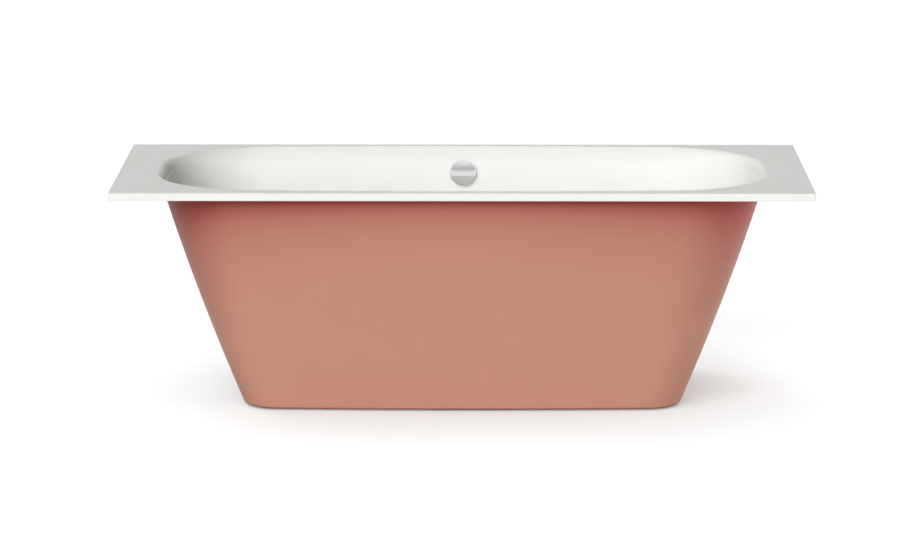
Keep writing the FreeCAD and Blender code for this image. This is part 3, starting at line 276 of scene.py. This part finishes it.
def coatedMaterial(coat):
    # Principled surface whose colour, gloss and relief follow one shared effect
    material = bpy.data.materials.new(coat["name"])
    material.use_nodes = True
    nodes, links = material.node_tree.nodes, material.node_tree.links
    shader = nodes["Principled BSDF"]
    for label, value in coat["shader"].items():
        shader.inputs[label].default_value = value
    surface = nodes.new("ShaderNodeGroup")
    surface.node_tree = coat["effect"]
    for label, value in coat["grain"].items():
        surface.inputs[label].default_value = value
    colour = nodes.new("ShaderNodeMix")
    colour.data_type = "RGBA"
    gloss = nodes.new("ShaderNodeMapRange")
    for end, tone in zip(("A", "B"), coat["tones"]):
        colour.inputs[end].default_value = (*tone, 1)
    for end, rough in zip(("To Min", "To Max"), coat["roughness"]):
        gloss.inputs[end].default_value = rough
    links.new(surface.outputs["Tone"], colour.inputs["Factor"])
    links.new(colour.outputs["Result"], shader.inputs["Base Color"])
    links.new(surface.outputs["Tone"], gloss.inputs["Value"])
    links.new(gloss.outputs["Result"], shader.inputs["Roughness"])
    relief = nodes.new("ShaderNodeBump")
    for label, value in zip(("Strength", "Distance"), coat["bump"]):
        relief.inputs[label].default_value = value
    links.new(surface.outputs["Height"], relief.inputs["Height"])
    links.new(relief.outputs["Normal"], shader.inputs["Normal"])
    return material


def paintShadeUnderRim(material, values):
    # painted shade: the coat's colour is mixed towards a deeper, redder tone where the rim covers it from
    # above
    nodes, links = material.node_tree.nodes, material.node_tree.links
    shader = nodes["Principled BSDF"]
    plain = shader.inputs["Base Color"].links[0].from_socket
    cover = nodes.new("ShaderNodeGroup")
    cover.node_tree = skyShade
    cover.inputs["Reach"].default_value = values["reach"]
    cover.inputs["Open"].default_value = values["open"]
    # mix towards the painted shade's tone by how covered the spot is
    deep = nodes.new("ShaderNodeMix")
    deep.data_type = "RGBA"
    deep.inputs["B"].default_value = (*values["tone"], 1)
    links.new(plain, deep.inputs["A"])
    links.new(cover.outputs["Shade"], deep.inputs["Factor"])
    links.new(deep.outputs["Result"], shader.inputs["Base Color"])


slotMaterials = {slot: coatedMaterial(coat) for slot, coat in coats.items()}
# the salmon skirt gets painted shade under the rim
paintShadeUnderRim(slotMaterials["salmon_enamel"], paintedShadeSalmon)
for part in frame["record"]["subparts"]:
    node = frame["nodes"][part["node"]]
    node.data.materials.clear()
    node.data.materials.append(slotMaterials[part["material_slot"]])
print("materials made")

# the oval that basin and skirt share: bowed sides and ends, a round at each corner
ovalLine = {"sideBow": 10.0, "endBow": 3.0, "endSteps": 8, "cornerSteps": 24, "sideSteps": 16}


def ovalQuarter(halfLength, halfWidth, corner):
    # points from the end's middle to the side's, with outward normals; the corner's arc touches both bows
    side, end = ovalLine["sideBow"], ovalLine["endBow"]
    sideMiddle, endMiddle = halfWidth - side, halfLength - end
    reach = math.hypot(endMiddle, sideMiddle)
    alongX, alongY = endMiddle / reach, -sideMiddle / reach
    along = ((side - corner) ** 2 - (end - corner) ** 2 + reach ** 2) / (2 * reach)
    across = math.sqrt((side - corner) ** 2 - along ** 2)
    middle = (alongX * along + alongY * across, sideMiddle + alongY * along - alongX * across)
    sideTurn = math.atan2(middle[1] - sideMiddle, middle[0])
    endTurn = math.atan2(middle[1], middle[0] - endMiddle)
    arcs = ((endMiddle, 0, end, 0, endTurn, ovalLine["endSteps"]),
            (middle[0], middle[1], corner, endTurn, sideTurn, ovalLine["cornerSteps"]),
            (0, sideMiddle, side, sideTurn, math.pi / 2, ovalLine["sideSteps"]))
    points = []
    for x, y, radius, start, finish, steps in arcs:
        for step in range(steps):
            turn = start + (finish - start) * step / steps
            nx, ny = math.cos(turn), math.sin(turn)
            points.append((x + radius * nx, y + radius * ny, nx, ny))
    points.append((0, halfWidth, 0, 1))
    return points


def fourFold(quarter):
    # a quarter of (x, y, normal x, normal y) mirrored to the whole loop
    right = quarter[:-1]
    left = [(-x, y, -nx, ny) for x, y, nx, ny in reversed(quarter)][:-1]
    half = right + left
    return half + [(-x, -y, -nx, -ny) for x, y, nx, ny in half]


def ovalLoop(halfLength, halfWidth, corner):
    loop = fourFold(ovalQuarter(halfLength, halfWidth, corner))
    return [(Vector((x, y, 0)), Vector((nx, ny, 0))) for x, y, nx, ny in loop]


# tub: basin, flat rim and turned-down edge in one skin, top and underside
tubShape = {
    "rimTop": 0.595, "floorTop": 0.165, "sheet": 0.003,
    "mouth": (0.779, 0.341, 0.245), "floor": (0.575, 0.261, 0.170), "floorRound": 0.080,
    "lipHeight": 0.023, "lipSideHeight": 0.037, "lipEnd": 0.022, "lipCorner": 0.018, "lipFront": 0.027,
    "lipBack": 0.034, "lipFlare": 0.85, "lipLedge": 0.003, "lipFade": 4,
    "rim": (0.900, 0.400), "rimCorner": 0.005, "leastCorner": 0.0006,
    "edgeRound": 0.002, "edgeHeight": 0.020, "hemRound": 0.0008,
    "drain": (0.0, 0.110), "drainRadius": 0.026, "drainFan": 0.055,
    "roundSteps": 12, "wallSteps": 14, "cornerTurn": 3, "edgeSteps": 5, "hemSteps": 3,
    # how far from a round or crease the next row of faces lies, so that its shading stays near it
    "creaseRow": 0.0012, "landRow": 0.002, "floorRow": 0.004, "drainRow": 0.002, "rimRow": 0.003,
    "edgeTopRow": 0.005, "edgeFootRow": 0.003, "hemRow": 0.004,
}


def rimLoop(mouthQuarter, inset):
    # the rim's rectangle, its points shared out like the oval's
    halfLength, halfWidth = tubShape["rim"][0] - inset, tubShape["rim"][1] - inset
    corner = max(tubShape["rimCorner"] - inset, tubShape["leastCorner"])
    turnAt = ovalLine["endSteps"] + ovalLine["cornerSteps"] // 2
    first, last = turnAt - tubShape["cornerTurn"], turnAt + tubShape["cornerTurn"]
    quarter = []
    for step, (x, y, nx, ny) in enumerate(mouthQuarter):
        if step <= first:
            quarter.append((halfLength, (halfWidth - corner) * y / mouthQuarter[first][1], 1, 0))
        elif step >= last:
            quarter.append(((halfLength - corner) * x / mouthQuarter[last][0], halfWidth, 0, 1))
        else:
            turn = math.pi / 2 * (step - first) / (last - first)
            quarter.append((halfLength - corner + corner * math.cos(turn),
                            halfWidth - corner + corner * math.sin(turn), math.cos(turn), math.sin(turn)))
    return [Vector((x, y, 0)) for x, y, nx, ny in fourFold(quarter)]


def lipRows(start, out, height):
    # the rounded lip from the wall up to the land, full at the ends and flared along the sides
    shape = tubShape
    endShare, sideShare = out.x ** shape["lipFade"], out.y ** shape["lipFade"]
    sideRun = shape["lipBack"] if out.y > 0 else shape["lipFront"]
    run = shape["lipEnd"] * endShare + sideRun * sideShare + shape["lipCorner"] * (1 - endShare - sideShare)
    power = 2 / (2 - shape["lipFlare"] * sideShare)
    line = []
    for step in range(shape["roundSteps"] + 1):
        turn = math.pi / 2 * step / shape["roundSteps"]
        line.append((run * (1 - math.cos(turn) ** power), height * (1 - math.sin(turn) ** power)))
    line.append((run + shape["landRow"], 0))
    rows = []
    for step, (reach, drop) in enumerate(line):
        before, after = line[max(step - 1, 0)], line[min(step + 1, len(line) - 1)]
        slope = Vector((before[1] - after[1], after[0] - before[0])).normalized()
        place = start + out * reach + Vector((0, 0, shape["rimTop"] - drop))
        rows.append((place, Vector((0, 0, slope.y)) - out * slope.x))
    return rows


def tubProfiles():
    # for each point round the mouth: positions and normals from the floor up to the rim's land
    shape = tubShape
    depth = shape["rimTop"] - shape["lipHeight"] - shape["floorTop"]
    mouthLoop, floorLoop = ovalLoop(*shape["mouth"]), ovalLoop(*shape["floor"])
    up = Vector((0, 0, 1))
    radius = shape["floorRound"]
    profiles = []
    for (top, out), (bottom, floorOut) in zip(mouthLoop, floorLoop):
        lean = top - bottom
        angle = math.atan(lean.dot(out) / depth)
        slide = lean - out * lean.dot(out)
        turn = math.pi / 2 - angle
        floorReach = radius * math.tan(turn / 2)
        points = [(bottom - floorOut * (floorReach + shape["floorRow"]) + up * shape["floorTop"], up)]
        for step in range(shape["roundSteps"] + 1):
            tilt = turn * step / shape["roundSteps"]
            rise = radius * (1 - math.cos(tilt))
            place = bottom + floorOut * (radius * math.sin(tilt) - floorReach) + slide * (rise / depth)
            normal = up * math.cos(tilt) - floorOut * math.sin(tilt)
            points.append((place + up * (shape["floorTop"] + rise), normal))
        sideShare = out.y ** shape["lipFade"]
        lipHeight = shape["lipHeight"] + (shape["lipSideHeight"] - shape["lipHeight"]) * sideShare
        wallEnd = depth + shape["lipHeight"] - lipHeight
        low, high = radius * (1 - math.sin(angle)), wallEnd - shape["creaseRow"]
        wallNormal = up * math.sin(angle) - out * math.cos(angle)
        # a narrow step under the lip at the ends
        ledge = out * (shape["lipLedge"] * out.x ** shape["lipFade"])
        for step in range(1, shape["wallSteps"] + 1):
            share = step / shape["wallSteps"]
            eased = share * share * (3 - 2 * share)    # closer rows next to the round and the crease
            rise = low + (high - low) * eased
            place = bottom + lean * (rise / depth) - ledge * eased
            points.append((place + up * (shape["floorTop"] + rise), wallNormal))
        points += lipRows(bottom + lean * (wallEnd / depth), out, lipHeight)
        profiles.append(points)
    return profiles


def rimEdge():
    # the turned-down edge as (inset, level), from the land over the outside and the hem to the underside
    shape = tubShape
    top, low = shape["rimTop"], shape["rimTop"] - shape["edgeHeight"]
    bend, hem, sheet = shape["edgeRound"], shape["hemRound"], shape["sheet"]
    edge = [(bend + shape["rimRow"], top)]
    edge += [(bend - x, top - bend + z) for x, z in roundCorner((0, 0), bend, 90, 0, shape["edgeSteps"])]
    edge += [(0, top - shape["edgeTopRow"]), (0, low + shape["edgeFootRow"])]
    edge += [(hem - x, low + hem + z) for x, z in roundCorner((0, 0), hem, 0, -90, shape["hemSteps"])]
    edge += [(sheet - hem - x, low + hem + z)
             for x, z in roundCorner((0, 0), hem, -90, -180, shape["hemSteps"])]
    return edge + [(sheet, low + shape["hemRow"]), (sheet, top - sheet)]


def drainRing(edge, radius, level):
    # a ring round the drain, its points in line with those of the floor's edge
    drain = Vector((*tubShape["drain"], 0))
    ring = []
    for point in edge:
        away = Vector((point.x, point.y, 0)) - drain
        ring.append(drain + away.normalized() * radius + Vector((0, 0, level)))
    return ring


def tubRings():
    shape = tubShape
    rows = list(zip(*tubProfiles()))
    upper = [[place for place, normal in row] for row in rows]
    under = [[place - normal * shape["sheet"] for place, normal in row] for row in rows]
    drainSteps = (shape["drainRadius"], shape["drainRadius"] + shape["drainRow"], shape["drainFan"])
    quarter = ovalQuarter(*shape["mouth"])
    rings = [drainRing(upper[0], radius, shape["floorTop"]) for radius in drainSteps]
    rings += upper
    for inset, level in rimEdge():
        rings.append([point + Vector((0, 0, level)) for point in rimLoop(quarter, inset)])
    rings += reversed(under)
    bottom = shape["floorTop"] - shape["sheet"]
    rings += [drainRing(under[0], radius, bottom) for radius in reversed(drainSteps)]
    return rings


tub = ringPiece("tubShell", tubRings(), slotMaterials["white_enamel"])
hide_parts("tub")
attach(tub, "bath")
print("tub made")

# skirt: tapered panel with a slight belly, a turned-out flange and a turned-in lip
skirtShape = {
    "top": 0.577, "foot": 0.003, "wall": 0.002, "halfLength": 0.787, "halfWidth": 0.374, "corner": 0.240,
    "endTaper": 0.213, "sideTaper": 0.097, "endBulge": 0.008, "sideBulge": 0.004, "footCorner": 0.090,
    "footRound": 0.008, "lip": 0.020, "flange": (0.830, 0.390, 0.256), "wallSteps": 28, "roundSteps": 8,
}


def skirtLoop(level, inset):
    shape = skirtShape
    share = (shape["top"] - level) / (shape["top"] - shape["foot"])
    swell = 4 * share * (1 - share)    # 1 half way down, 0 at the top and the foot
    loop = ovalLoop(shape["halfLength"] - shape["endTaper"] * share + shape["endBulge"] * swell - inset,
                    shape["halfWidth"] - shape["sideTaper"] * share + shape["sideBulge"] * swell - inset,
                    shape["corner"] + (shape["footCorner"] - shape["corner"]) * share - inset)
    return [point + Vector((0, 0, level)) for point, out in loop]


def skirtFace(wall):
    # rings from under the flange down the face and round the foot
    shape = skirtShape
    high, low = shape["top"] - shape["wall"], shape["foot"] + shape["footRound"]
    radius = shape["footRound"] - wall
    rings = []
    for step in range(shape["wallSteps"] + 1):
        rings.append(skirtLoop(high + (low - high) * step / shape["wallSteps"], wall))
    for step in range(1, shape["roundSteps"] + 1):
        turn = math.pi / 2 * step / shape["roundSteps"]
        rings.append(skirtLoop(low - radius * math.sin(turn), wall + radius * (1 - math.cos(turn))))
    return rings


def skirtRings():
    shape = skirtShape
    flange = [point for point, out in ovalLoop(*shape["flange"])]
    low, high = Vector((0, 0, shape["top"] - shape["wall"])), Vector((0, 0, shape["top"]))
    rings = [[point + high for point in flange], [point + low for point in flange]]
    rings += skirtFace(0)
    rings += [skirtLoop(shape["foot"], shape["lip"]), skirtLoop(shape["foot"] + shape["wall"], shape["lip"])]
    rings += reversed(skirtFace(shape["wall"]))
    rings.append(skirtLoop(shape["top"], shape["wall"]))
    return rings


skirt = ringPiece("skirtPanel", skirtRings(), slotMaterials["salmon_enamel"])
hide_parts("skirt")
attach(skirt, "bath")
print("skirt made")


def domeLine(top, curve, edge, steps):
    # a shallow dome's profile from its top out to its edge
    radii = [edge * step / steps for step in range(1, steps + 1)]
    return [(0, top)] + [(radius, top - curve + math.sqrt(curve ** 2 - radius ** 2)) for radius in radii]


# overflow cap: turned dome with a rolled edge, open at the back, over a hole in the tub's wall
knobShape = {"place": (0, 0.332351, 0.528), "lean": 11.1211, "radius": 0.0355, "gap": 0.007, "depth": 0.012,
             "wall": 0.0025, "dome": 0.160, "edge": 0.004, "edgeStart": 80, "softOuter": 0.0008,
             "softInner": 0.0006, "socket": 0.007, "bore": 0.00408, "hole": 0.026, "holeDepth": 0.012,
             "steps": 96, "domeSteps": 12, "edgeSteps": 8, "holeSteps": 66}
overflowPlace = Matrix.Translation(knobShape["place"])
overflowPlace @= Matrix.Rotation(math.radians(90 - knobShape["lean"]), 4, "X")


def knobRings():
    shape = knobShape
    radius, gap, edge = shape["radius"], shape["gap"], shape["edge"]
    front = gap + shape["depth"]
    profile = domeLine(front, shape["dome"], radius - edge, shape["domeSteps"])
    domeEdge, domeLow = profile[-1]
    profile += roundCorner((domeEdge, domeLow - edge), edge, shape["edgeStart"], 0, shape["edgeSteps"])
    inner = radius - shape["wall"]
    ceiling = front - 2 * shape["wall"]
    profile += [(radius, gap + shape["softOuter"]), (radius - shape["softOuter"], gap),
                (inner + shape["softInner"], gap), (inner, gap + shape["softInner"]),
                (inner, ceiling), (shape["socket"], ceiling), (shape["socket"], gap),
                (shape["bore"], gap), (shape["bore"], ceiling), (0, ceiling)]
    return turnedRings(profile, shape["steps"])


def cutOverflow(piece):
    # the hole in the tub's wall that the cap hides
    radius, deep = knobShape["hole"], knobShape["holeDepth"]
    drum = turnedRings([(0, -deep), (radius, -deep), (radius, deep), (0, deep)], knobShape["holeSteps"])
    cutter = ringPiece("overflowCutter", drum, slotMaterials["white_enamel"], closed=False)
    cutter.data.transform(overflowPlace)
    hole = piece.modifiers.new("overflowHole", "BOOLEAN")
    hole.operation = "DIFFERENCE"
    hole.solver = "EXACT"
    hole.object = cutter
    holed = bpy.data.meshes.new_from_object(piece.evaluated_get(bpy.context.evaluated_depsgraph_get()))
    piece.modifiers.remove(hole)
    uncut = piece.data
    piece.data = holed
    bpy.data.meshes.remove(uncut)
    bpy.data.objects.remove(cutter)
    holed.name = piece.name
    holed.set_sharp_from_angle(angle=math.radians(sharpAngle))


cutOverflow(tub)
knob = ringPiece("overflowCap", knobRings(), slotMaterials["chrome_plate"], closed=False)
knob.data.transform(overflowPlace)
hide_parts("overflow_knob")
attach(knob, "knob")
print("overflow cap made")

# plug: domed cap with a softened edge on a round-tipped stem
plugShape = {"place": (0, 0.110, 0.165), "radius": 0.031, "level": 0.0065, "edge": 0.002, "dome": 0.004,
             "round": 0.0009, "roundStart": 75, "softUnder": 0.0004, "stem": 0.004, "stemLength": 0.054,
             "tipFinish": -80, "steps": 96, "domeSteps": 12, "roundSteps": 5, "tipSteps": 8}


def plugRings():
    shape = plugShape
    radius, level, soft = shape["radius"], shape["level"], shape["softUnder"]
    shoulder = level + shape["edge"]
    curve = (radius ** 2 + shape["dome"] ** 2) / (2 * shape["dome"])
    edge = radius - shape["round"]
    profile = domeLine(shoulder + shape["dome"], curve, edge, shape["domeSteps"])
    profile += roundCorner((edge, shoulder - shape["round"]), shape["round"],
                           shape["roundStart"], 0, shape["roundSteps"])
    profile += [(radius, level + soft), (radius - soft, level), (shape["stem"], level)]
    tip = level - shape["stemLength"] + shape["stem"]
    profile += roundCorner((0, tip), shape["stem"], 0, shape["tipFinish"], shape["tipSteps"])
    profile.append((0, tip - shape["stem"]))
    return turnedRings(profile, shape["steps"])


plug = ringPiece("wastePlug", plugRings(), slotMaterials["chrome_plate"], closed=False)
plug.data.transform(Matrix.Translation(plugShape["place"]))
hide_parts("plug")
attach(plug, "plug")
print("plug made")

# studio: pale floor, soft lamps from the front and front left, weaker ones behind, a low panel at the right
# floorGlow stays everywhere; openGlow is the part of the glow that the painted contact shadow takes away near
# the bath, tipped towards the left and front by its lean
studio = {"floorHalf": 60, "floorTone": (0.530, 0.560, 0.564), "floorGlow": 0.24, "openGlow": 0.485,
          "paintedShadowLean": (-0.09, -0.03, 0), "paintedShadowReach": 0.4}
lamps = {"keyLight": {"strength": 1.57, "turn": -25, "height": 30, "softness": 40},
         "fillLight": {"strength": 1.68, "turn": 0, "height": 12, "softness": 40},
         "rearLight": {"strength": 0.95, "turn": -135, "height": 45, "softness": 40},
         "backLight": {"strength": 0.95, "turn": 180, "height": 9, "softness": 30}}
sidePanel = {"strength": 26, "place": (2.7, 0.5, 0.27), "towards": (-1, -0.2, 0), "size": (1.5, 0.45)}
# what polished metal mirrors above the horizon: a low bright front, a dim gap over it, a bright top
mirrorSky = ((0.00, 0.82), (0.20, 0.81), (0.24, 0.77), (0.27, 0.66), (0.31, 0.54), (0.36, 0.50), (0.44, 0.65),
             (0.53, 0.86), (1.00, 0.96))


def seenDirectly(nodes, links):
    # 1 on camera, mirror and see-through rays, else 0
    ray = nodes.new("ShaderNodeLightPath")
    either = nodes.new("ShaderNodeMath")
    either.operation = "MAXIMUM"
    links.new(ray.outputs["Is Camera Ray"], either.inputs[0])
    links.new(ray.outputs["Is Glossy Ray"], either.inputs[1])
    seen = nodes.new("ShaderNodeMath")
    seen.operation = "MAXIMUM"
    links.new(either.outputs["Value"], seen.inputs[0])
    links.new(ray.outputs["Is Transmission Ray"], seen.inputs[1])
    return seen.outputs["Value"]


def floorMaterial():
    # matte, with a glow that fills the open floor to white; a painted contact shadow dims the glow where the
    # bath stands close
    material = bpy.data.materials.new("paleFloor")
    material.use_nodes = True
    nodes, links = material.node_tree.nodes, material.node_tree.links
    nodes.remove(nodes["Principled BSDF"])
    matte = nodes.new("ShaderNodeBsdfDiffuse")
    matte.inputs["Color"].default_value = (*studio["floorTone"], 1)
    # painted contact shadow: ambient occlusion about a slightly leaned normal
    contact = addCover(nodes, links, studio["paintedShadowLean"])
    contact.inputs["Distance"].default_value = studio["paintedShadowReach"]
    glowUnderPaintedShadow = nodes.new("ShaderNodeMath")
    glowUnderPaintedShadow.operation = "MULTIPLY_ADD"
    glowUnderPaintedShadow.inputs[1].default_value = studio["openGlow"]
    glowUnderPaintedShadow.inputs[2].default_value = studio["floorGlow"]
    links.new(contact.outputs["AO"], glowUnderPaintedShadow.inputs[0])
    level = nodes.new("ShaderNodeMath")
    level.operation = "MULTIPLY"
    links.new(seenDirectly(nodes, links), level.inputs[0])
    links.new(glowUnderPaintedShadow.outputs["Value"], level.inputs[1])
    glow = nodes.new("ShaderNodeEmission")
    links.new(level.outputs["Value"], glow.inputs["Strength"])
    both = nodes.new("ShaderNodeAddShader")
    links.new(matte.outputs["BSDF"], both.inputs[0])
    links.new(glow.outputs["Emission"], both.inputs[1])
    links.new(both.outputs["Shader"], nodes["Material Output"].inputs["Surface"])
    return material


def makeFloor():
    half = studio["floorHalf"]
    builder = bmesh.new()
    corners = [builder.verts.new((x * half, y * half, 0)) for x, y in ((-1, -1), (1, -1), (1, 1), (-1, 1))]
    builder.faces.new(corners)
    pieceFromMesh("studioFloor", builder, floorMaterial())


def makeWorld():
    # white where it is seen, the mirror sky in polished metal, and no light of its own
    world = bpy.data.worlds.new("studioWorld")
    scene.world = world
    world.use_nodes = True
    nodes, links = world.node_tree.nodes, world.node_tree.links
    background = nodes["Background"]
    background.inputs["Color"].default_value = (1, 1, 1, 1)
    way = nodes.new("ShaderNodeTexCoord")
    parts = nodes.new("ShaderNodeSeparateXYZ")
    links.new(way.outputs["Generated"], parts.inputs["Vector"])
    sky = nodes.new("ShaderNodeValToRGB")
    while len(sky.color_ramp.elements) < len(mirrorSky):
        sky.color_ramp.elements.new(1)
    for stop, (place, tone) in zip(sky.color_ramp.elements, mirrorSky):
        stop.position = place
        stop.color = (tone, tone, tone, 1)
    links.new(parts.outputs["Z"], sky.inputs["Fac"])
    ray = nodes.new("ShaderNodeLightPath")
    mirrored = nodes.new("ShaderNodeMix")
    links.new(ray.outputs["Is Glossy Ray"], mirrored.inputs["Factor"])
    links.new(seenDirectly(nodes, links), mirrored.inputs["A"])
    links.new(sky.outputs["Color"], mirrored.inputs["B"])
    links.new(mirrored.outputs["Result"], background.inputs["Strength"])


def hangLamp(name, data, towards):
    light = bpy.data.objects.new(name, data)
    light.rotation_mode = "QUATERNION"
    light.rotation_quaternion = Vector(towards).to_track_quat("-Z", "Y")
    light.visible_camera = False
    light.visible_glossy = False    # polished metal mirrors the sky, not the lamps
    scene.collection.objects.link(light)
    return light


def makeLamps():
    for name, lamp in lamps.items():
        data = bpy.data.lights.new(name, "SUN")
        data.energy = lamp["strength"]
        data.angle = math.radians(lamp["softness"])
        turn, height = math.radians(lamp["turn"]), math.radians(lamp["height"])
        level = math.cos(height)
        hangLamp(name, data, (-math.sin(turn) * level, math.cos(turn) * level, -math.sin(height)))
    data = bpy.data.lights.new("sidePanel", "AREA")
    data.shape = "RECTANGLE"
    data.size, data.size_y = sidePanel["size"]
    data.energy = sidePanel["strength"]
    panel = hangLamp("sidePanel", data, sidePanel["towards"])
    panel.location = sidePanel["place"]


makeFloor()
makeWorld()
makeLamps()
print("studio lit")
